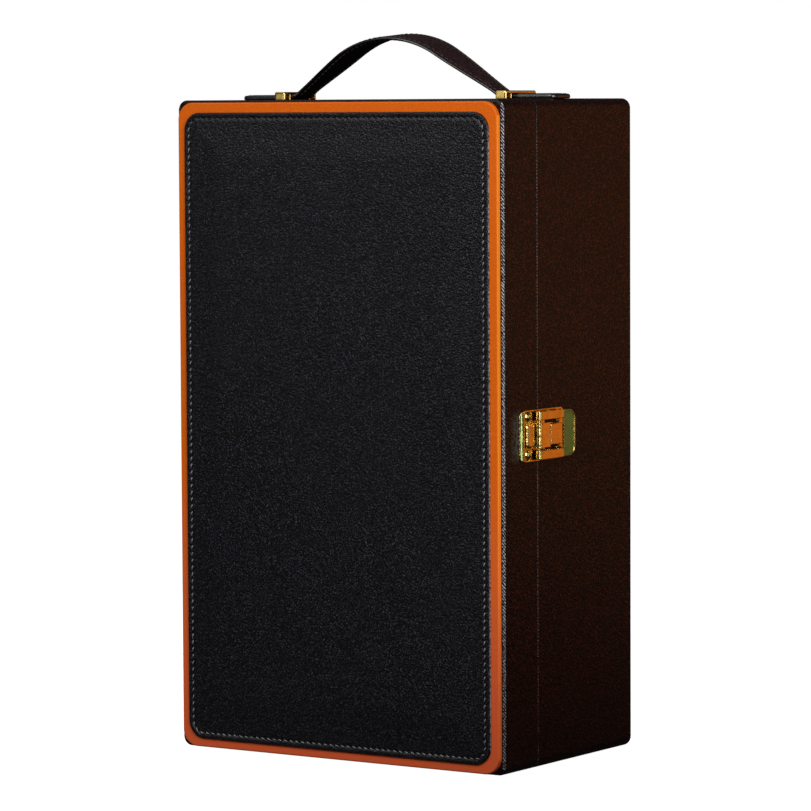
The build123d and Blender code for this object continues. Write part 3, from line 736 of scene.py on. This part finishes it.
def pad_lift(u, v):
    """The groove and puckers along the stitches, and the crown and slow waves inside them."""
    inside = inset_of(u, v, PAD_SIZE, PAD_RADIUS)
    groove = GROOVE * math.exp(-(((inside - STITCH_INSET) / GROOVE_WIDTH) ** 2))
    near = math.exp(-(((inside - STITCH_INSET) / PUCKER_WIDTH) ** 2))
    pull = PUCKER * near * math.cos(2 * math.pi * (u + v) / STITCH_PITCH)
    crown = PAD_CROWN * soft_step((inside - STITCH_INSET) / PAD_CROWN_WIDTH)
    waves = PAD_WAVES * noise.noise((u * 0.03, v * 0.022, 0.4)) * soft_step((inside - 6) / 20)
    return crown + waves - groove - pull * (inside > PAD_EDGE)


def rounded_edge(radius, height, steps):
    """The start of a profile: a quarter circle from the foot up to the height."""
    profile = [(0.0, 0.0)]
    for step in range(steps + 1):
        angle = math.pi / 2 * step / steps
        inset = radius * (1 - math.cos(angle))
        profile.append((inset, height - radius * (1 - math.sin(angle))))
    return profile


pad_profile = rounded_edge(PAD_EDGE, PAD_THICKNESS, 6)
for inset in (1.4, 1.8, 2.2, 2.5, 2.8, 3.1, 3.4, 3.7, 4.0, 4.4, 5.0, 5.8):
    pad_profile.append((inset, PAD_THICKNESS))

points, faces = pillow(PAD_SIZE, PAD_RADIUS, pad_profile, 11.0, (160, 290), 12, pad_lift)
upright = [(u, PANEL_FRONT - w, v + PAD_MIDDLE) for u, v, w in points]
front_pad = piece("front_pad", upright, faces, BLACK, "lid")
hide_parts("front_pad_leather", "front_pad_foam")

points = []
faces = []
path, total = rounded_path(PAD_SIZE, PAD_RADIUS, STITCH_INSET)
count = round(total / STITCH_PITCH)
PAD_STITCH = {"length": 2.2, "radius": 0.27, "slant": 0.4}
PAD_STITCH_Y = PANEL_FRONT - PAD_THICKNESS + GROOVE - 0.06
FORWARD = Vector((0, -1, 0))
for k in range(count):
    (u, v), (du, dv) = path(total * (k + 0.5) / count)
    centre = Vector((u, PAD_STITCH_Y, v + PAD_MIDDLE))
    along = Vector((du, 0, dv))
    across = Vector((dv, 0, -du))
    stitch(points, faces, centre, along, across, FORWARD, **PAD_STITCH)
piece("front_pad_stitches", points, faces, THREAD, "lid")


# Velvet pad in the lid, with a channel for each bottle

rest_low, rest_high = box_of("lid_bottle_pad")
REST_SIZE = (rest_high.x - rest_low.x, rest_high.z - rest_low.z)
REST_MIDDLE = (rest_high.z + rest_low.z) / 2
REST_DEPTH = rest_high.y - rest_low.y
REST_RADIUS = 7.0
REST_EDGE = 5.0
BOTTLE_X = 47.5
CHANNEL_RADIUS = 41.0
CHANNEL_HALF = 15.0
REST_DRAW = 1.6
REST_SEAM = 1.8
REST_SEAM_WIDTH = 1.6
REST_WAVES = 0.35
REST_PLAY = 0.4


def rest_lift(u, v):
    """The bottles' channels, the seam between them and the velvet drawn down at its edges."""
    across = min(abs(abs(u) - BOTTLE_X), CHANNEL_HALF)
    bottle = math.sqrt(CHANNEL_RADIUS**2 - across**2)
    channel = max(0.0, bottle + rest_low.y + REST_DEPTH)
    inside = inset_of(u, v, REST_SIZE, REST_RADIUS)
    draw = REST_DRAW * (1 - soft_step((inside - REST_EDGE) / 16))
    seam = REST_SEAM * math.exp(-((u / REST_SEAM_WIDTH) ** 2))
    waves = REST_WAVES * noise.noise((u * 0.04, v * 0.03, 2.1))
    return (waves - channel - draw - seam - REST_PLAY) * soft_step(inside / REST_EDGE)


rest_profile = rounded_edge(REST_EDGE, REST_DEPTH, 8)
points, faces = pillow(REST_SIZE, REST_RADIUS, rest_profile, 9.0, (104, 100), 8, rest_lift)
upright = [(-u, rest_low.y + w, v + REST_MIDDLE) for u, v, w in points]
bottle_rest = piece("bottle_rest", upright, faces, VELVET, "lid")
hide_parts("lid_bottle_pad")


# Strap handle

PATH_STEP = 1.2


def strap_path():
    """Points along the middle of the strap, a little over a millimetre apart, with its slope."""
    rise_left = math.tan(LEFT_SLOPE)
    rise_right = math.tan(RIGHT_SLOPE)
    apex_x = (RIGHT_BEND_X * rise_right - LEFT_BEND_X * rise_left) / (rise_right + rise_left)
    apex = (apex_x, STRAP_MIDDLE + rise_left * (apex_x + LEFT_BEND_X))
    bends = (
        ((-LEFT_BEND_X, STRAP_MIDDLE), 0.0, LEFT_SLOPE, BEND_RADIUS),
        (apex, LEFT_SLOPE, -RIGHT_SLOPE, APEX_RADIUS),
        ((RIGHT_BEND_X, STRAP_MIDDLE), -RIGHT_SLOPE, 0.0, BEND_RADIUS),
    )
    line = [((-STRAP_REACH, STRAP_MIDDLE), 0.0)]
    for corner, before, after, radius in bends:
        turn = after - before
        cut = radius * math.tan(abs(turn) / 2)
        into = (corner[0] - cut * math.cos(before), corner[1] - cut * math.sin(before))
        last = line[-1][0]
        steps = max(2, int(math.dist(into, last) / PATH_STEP))
        for step in range(1, steps + 1):
            line.append((partway(last, into, step / steps), before))
        side = 1 if turn > 0 else -1
        bend = side * radius
        centre = (into[0] - bend * math.sin(before), into[1] + bend * math.cos(before))
        steps = max(6, int(radius * abs(turn) / PATH_STEP))
        for step in range(1, steps + 1):
            slope = before + turn * step / steps
            point = (centre[0] + bend * math.sin(slope), centre[1] - bend * math.cos(slope))
            line.append((point, slope))
    last_x = line[-1][0][0]
    steps = 14
    for step in range(1, steps + 1):
        x = last_x + (STRAP_REACH - last_x) * step / steps
        line.append(((x, STRAP_MIDDLE), 0.0))
    return line


def strap_half(x):
    """Half the strap's width: full in the middle, narrowing smoothly to the loops."""
    share = soft_step((abs(x) - WAIST_START) / (WAIST_END - WAIST_START))
    return STRAP_WIDE + (STRAP_NECK - STRAP_WIDE) * share


STRAP_STITCH = 2.9
STRAP_BORDER = 0.86
STRAP_FULL = STRAP_THICKNESS / 2
STRAP_GROOVE = 0.2
STRAP_EDGE_HALF = 0.3
STRAP_EDGE_DROP = 0.32


def strap_section(half):
    """The strap's cross-section, as (across, up): thin stitched borders and a fuller middle."""
    upper = []
    steps = 32
    for step in range(steps + 1):
        across = (half - STRAP_EDGE_HALF) * (2 * step / steps - 1)
        inside = half - abs(across)
        fuller = soft_step((inside - STRAP_STITCH - 0.5) / 1.5)
        full = STRAP_BORDER + (STRAP_FULL - STRAP_BORDER) * fuller
        groove = STRAP_GROOVE * math.exp(-(((inside - STRAP_STITCH) / 0.6) ** 2))
        edge = STRAP_EDGE_DROP * (1 - soft_step((inside - 0.2) / 0.8))
        upper.append((across, full - groove - edge))
    right = [(half, STRAP_EDGE_HALF), (half, -STRAP_EDGE_HALF)]
    lower = [(across, -height) for across, height in reversed(upper)]
    left = [(-half, -STRAP_EDGE_HALF), (-half, STRAP_EDGE_HALF)]
    return upper + right + lower + left


LOOP_FILL = 1.4
FILL_START = 65.5
FILL_END = 73.6


def doubled(x):
    """How much thicker the strap is inside the loops, where its end is folded back over it."""
    thicker = LOOP_FILL * soft_step((abs(x) - FILL_START) / 3)
    return thicker * (1 - soft_step((abs(x) - FILL_END) / 0.8))


STRAP_LIFT = STRAP_BASE - box_of("body_leather")[1].z - 0.02
BED_START = 60


def bedded(x):
    """How far the strap's underside reaches down to the top of the box near its ends."""
    return STRAP_LIFT * soft_step((abs(x) - BED_START) / 5)


STRAP_ROLL = 0.08
STRAP_RISE = strap_high.z - STRAP_BASE - STRAP_THICKNESS
STRAP_EDGE_WIDTH = 0.35


def rolled(across, z):
    """How far the strap's roll lifts a point: its back edge is higher towards the top."""
    return STRAP_ROLL * across * ((z - STRAP_MIDDLE) / STRAP_RISE) ** 2


line = strap_path()
points = []
faces = []
for index, ((x, z), slope) in enumerate(line):
    section = strap_section(strap_half(x))
    around = len(section)
    for across, up in section:
        up += doubled(x) * (up > 0) - bedded(x) * (up < 0)
        raised = z + up * math.cos(slope) + rolled(across, z)
        points.append((x - up * math.sin(slope), across, raised))
    if index:
        strip(faces, (index - 1) * around, index * around, around)
faces.append(tuple(reversed(range(around))))
faces.append(tuple(range(len(points) - around, len(points))))
strap = piece("strap", points, faces, STRAP, "box")
strap.data.materials.append(STRAP_UNDERSIDE)
strap.data.materials.append(EDGE_PAINT)
for face in strap.data.polygons:
    at_edge = abs(face.center.y) / MM > strap_half(face.center.x / MM) - STRAP_EDGE_WIDTH
    face.material_index = 2 if at_edge else int(face.normal.z < 0)
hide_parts("handle_strap")

# The strap's two rows of stitches, on both of its faces

DARK_STITCH_PITCH = 3.2
ROW_END = 66
ROW_STITCH = {"length": 2.3, "radius": 0.24, "slant": 0.12}
STITCH_SINK = 0.12
BACKWARD = Vector((0, 1, 0))

points = []
faces = []
run = 0.0
due = 1.5
for (start, slope), (end, next_slope) in zip(line, line[1:]):
    step = math.hypot(end[0] - start[0], end[1] - start[1])
    while due <= run + step:
        share = (due - run) / step
        x, z = partway(start, end, share)
        lean = slope + (next_slope - slope) * share
        if abs(x) < ROW_END:
            along = Vector((math.cos(lean), 0, math.sin(lean)))
            for side in (-1, 1):
                for surface in (-1, 1):
                    up = Vector((-math.sin(lean), 0, math.cos(lean))) * surface
                    aside = side * (strap_half(x) - STRAP_STITCH)
                    middle = Vector((x, aside, z + rolled(aside, z)))
                    centre = middle + up * (STRAP_BORDER - STITCH_SINK)
                    stitch(points, faces, centre, along, BACKWARD, up, **ROW_STITCH)
        due += DARK_STITCH_PITCH
    run += step
strap_stitches = piece("strap_stitches", points, faces, DARK_THREAD, "box")
for part in (strap, strap_stitches):
    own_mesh(part)


# Rounded brass faces of the two loops that hold the strap down

LOOP_PROUD = 0.25
LOOP_EDGE = 0.6
LOOP_ROUND = 1.0
LOOP_WIDER = 0.12
LOOP_DEEP = 1.05
LOOP_STEPS = (0.0, 0.04, 0.12, 0.24, 0.4, 0.6, 1.4)


def loop_route(low, high):
    """The loop's outline from front to back, as (y, z, direction outwards in radians)."""
    foot = box_of("body_leather")[1].z
    route = [(low.y, foot, math.pi)]
    for y, first in ((low.y + LOOP_ROUND, 180), (high.y - LOOP_ROUND, 90)):
        for angle in range(first, first - 91, -15):
            turn = math.radians(angle)
            out = LOOP_ROUND * math.cos(turn)
            raised = high.z - LOOP_ROUND + LOOP_ROUND * math.sin(turn)
            route.append((y + out, raised, turn))
    route.append((high.y, foot, 0.0))
    return route


for name in ("left", "right"):
    low, high = box_of(f"{name}_handle_loop")
    first_x = low.x - LOOP_WIDER
    last_x = high.x + LOOP_WIDER
    across = [first_x + inset for inset in LOOP_STEPS]
    across += [last_x - inset for inset in reversed(LOOP_STEPS)]
    ring = len(across) + 2
    points = []
    faces = []
    for index, (y, z, turn) in enumerate(loop_route(low, high)):
        for x in across:
            over = max(0.0, LOOP_EDGE - min(x - first_x, last_x - x))
            out = LOOP_PROUD - LOOP_EDGE + math.sqrt(LOOP_EDGE**2 - over**2)
            points.append((x, y + out * math.cos(turn), z + out * math.sin(turn)))
        for x in (last_x, first_x):
            points.append((x, y - LOOP_DEEP * math.cos(turn), z - LOOP_DEEP * math.sin(turn)))
        if index:
            strip(faces, (index - 1) * ring, index * ring, ring)
    faces.append(tuple(reversed(range(ring))))
    faces.append(tuple(range(len(points) - ring, len(points))))
    cover = piece(f"{name}_loop_face", points, faces, BRASS, "box")
    cover.data.set_sharp_from_angle(angle=math.radians(35))


# Tabs at the ends of the strap, outside the loops

tab_size = (TAB_OUTER - TAB_INNER, 2 * TAB_HALF)
TAB_STITCH = 2.4
TAB_BORDER = 2.5
TAB_GROOVE = 0.2
TAB_THREAD = {"length": 2.4, "radius": 0.24, "slant": 0.12}
TAB_THREAD_Z = TAB_BASE + 2.34
SIDE_SLOPE = 0.85
UPWARD = Vector((0, 0, 1))
tab_profile = [
    (0.7, 0.0),
    (0.3, 0.15),
    (0.08, 0.5),
    (0.0, 0.95),
    (0.06, 1.4),
    (0.24, 1.85),
    (0.5, 2.2),
    (0.85, 2.42),
]
tab_profile += [(inset, TAB_BORDER) for inset in (1.2, 1.6, 2.0, 2.4, 2.8, 3.2)]


def tab_lift(u, v):
    """The groove under the stitches of a tab, and its slightly fuller middle."""
    inside = inset_of(u, v, tab_size, TAB_RADIUS)
    crown = (TAB_THICKNESS - TAB_BORDER) * soft_step((inside - TAB_STITCH - 0.3) / 2.5)
    groove = TAB_GROOVE * math.exp(-(((inside - TAB_STITCH) / 0.5) ** 2))
    return crown - groove * (inside > 1)


for name, side in (("left", -1), ("right", 1)):
    points, faces = pillow(tab_size, TAB_RADIUS, tab_profile, 5.0, (26, 18), 8, tab_lift)
    middle = side * (TAB_INNER + TAB_OUTER) / 2
    placed = [(u + middle, v, w + TAB_BASE) for u, v, w in points]
    tab = piece(f"{name}_tab", placed, faces, STRAP, f"{name}_handle_end")
    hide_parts(f"{name}_handle_tab")
    tab.data.materials.append(EDGE_PAINT)
    for face in tab.data.polygons:
        face.material_index = int(abs(face.normal.z) < SIDE_SLOPE)
    points = []
    faces = []
    path, total = rounded_path(tab_size, TAB_RADIUS, TAB_STITCH)
    count = round(total / DARK_STITCH_PITCH)
    for k in range(count):
        (u, v), (du, dv) = path(total * (k + 0.5) / count)
        centre = Vector((u + middle, v, TAB_THREAD_Z))
        along = Vector((du, dv, 0))
        across = Vector((-dv, du, 0))
        stitch(points, faces, centre, along, across, UPWARD, **TAB_THREAD)
    piece(f"{name}_tab_stitches", points, faces, DARK_THREAD, f"{name}_handle_end")


# Studio

AIM = Vector((0, 0, 0.2))


def softbox(name, bearing, height, distance, size, radiance, colour=(1, 1, 1)):
    """A soft box that faces the object, at a bearing in degrees from +X towards +Y."""
    lamp = bpy.data.lights.new(name, "AREA")
    lamp.shape = "RECTANGLE"
    lamp.size, lamp.size_y = size
    lamp.energy = radiance * math.pi * size[0] * size[1]
    lamp.color = colour
    made = bpy.data.objects.new(name, lamp)
    bpy.context.scene.collection.objects.link(made)
    angle = math.radians(bearing)
    made.location = (distance * math.cos(angle), distance * math.sin(angle), height)
    facing = Vector(made.location) - AIM
    made.rotation_euler = facing.to_track_quat("Z", "Y").to_euler()
    made.visible_camera = False


# The boxes light the leather, and the narrow cards are there for the brass to mirror
softbox("right_box", -34, 0.62, 1.3, (0.75, 1.0), 6.0)
softbox("front_box", -100, 1.25, 1.2, (1.1, 0.8), 4.2)
softbox("top_box", 175, 1.5, 0.5, (0.7, 0.7), 1.0)
softbox("warm_card", 58, 0.3, 1.2, (0.4, 0.8), 0.56, (1.0, 0.28, 0.01))
softbox("cool_card", 37, 0.3, 1.2, (0.22, 0.8), 0.13, (0.42, 0.9, 0.5))
softbox("pale_card", 9, 0.3, 1.2, (0.17, 0.8), 2.6, (0.55, 0.95, 1.0))
softbox("front_card", -122, 0.45, 1.2, (0.22, 0.36), 0.95)

# White behind the object, and a little light from all round

ROOM_LIGHT = 0.04
world = bpy.data.worlds.new("studio")
bpy.context.scene.world = world
world.use_nodes = True
sky = world.node_tree
background = sky.nodes["Background"]
seen = sky.nodes.new("ShaderNodeLightPath")
level = sky.nodes.new("ShaderNodeMapRange")
sky.links.new(seen.outputs["Is Camera Ray"], level.inputs["Value"])
level.inputs["To Min"].default_value = ROOM_LIGHT
level.inputs["To Max"].default_value = 1.0
sky.links.new(level.outputs["Result"], background.inputs["Strength"])
background.inputs["Color"].default_value = rgb(1, 1, 1)

paper = Graph("floor_paper")
direct = paper.node("ShaderNodeLightPath").outputs["Is Camera Ray"]
grain = paper.mix(paper.noise(3.0, 2.0), rgb(0.86, 0.86, 0.86), rgb(0.9, 0.9, 0.9))
paper.set(
    Base_Color=paper.mix(direct, rgb(0.08, 0.08, 0.08), grain),
    Roughness=0.9,
    Specular_IOR_Level=0.0,
    Emission_Color=rgb(1, 1, 1),
    Emission_Strength=paper.maths("MULTIPLY", direct, 0.92),
)


def stage_sheet(name, corners, finish):
    """A flat four-cornered piece of the studio, in metres."""
    mesh = bpy.data.meshes.new(name)
    mesh.from_pydata(corners, [], [(0, 1, 2, 3)])
    mesh.materials.append(finish)
    made = bpy.data.objects.new(name, mesh)
    bpy.context.scene.collection.objects.link(made)
    return made


FLOOR_HALF = 1.4
FLOOR_NEAR = -0.6
FLOOR_FAR = 1.6
floor_corners = [
    (-FLOOR_HALF, FLOOR_NEAR, 0),
    (FLOOR_HALF, FLOOR_NEAR, 0),
    (FLOOR_HALF, FLOOR_FAR, 0),
    (-FLOOR_HALF, FLOOR_FAR, 0),
]
stage_sheet("floor", floor_corners, paper.material)

# A low dark flag on the right, which keeps the light off the foot of the side

FLAG_X = 0.28
FLAG_NEAR = -0.5
FLAG_FAR = 0.2
FLAG_HEIGHT = 0.115
felt = Graph("flag_felt")
fibres = felt.noise(400.0)
felt.set(
    Base_Color=felt.mix(fibres, rgb(0.002, 0.002, 0.002), rgb(0.006, 0.006, 0.006)),
    Roughness=1.0,
)
flag_corners = [
    (FLAG_X, FLAG_NEAR, 0),
    (FLAG_X, FLAG_FAR, 0),
    (FLAG_X, FLAG_FAR, FLAG_HEIGHT),
    (FLAG_X, FLAG_NEAR, FLAG_HEIGHT),
]
flag = stage_sheet("flag", flag_corners, felt.material)
flag.visible_camera = False

bpy.context.scene.view_settings.view_transform = "Standard"

# Camera, at the place found from the box's corners in the photograph

YAW = 0.588306870
PITCH = 0.070514252
ROLL = -0.004920093
CAMERA_PLACE = (1.26364, -1.894, 0.3458)
FOCAL_LENGTH = 187.497
forward = Vector(
    (
        -math.sin(YAW) * math.cos(PITCH),
        math.cos(YAW) * math.cos(PITCH),
        -math.sin(PITCH),
    )
)
level_right = Vector((math.cos(YAW), math.sin(YAW), 0))
level_up = level_right.cross(forward)
right = level_right * math.cos(ROLL) + level_up * math.sin(ROLL)
up = level_up * math.cos(ROLL) - level_right * math.sin(ROLL)

lens = bpy.data.cameras.new("camera")
lens.sensor_width = 36
lens.lens = FOCAL_LENGTH
camera = bpy.data.objects.new("camera", lens)
bpy.context.scene.collection.objects.link(camera)
turned = Matrix((right, up, -forward)).transposed().to_4x4()
camera.matrix_world = Matrix.Translation(CAMERA_PLACE) @ turned
bpy.context.scene.camera = camera
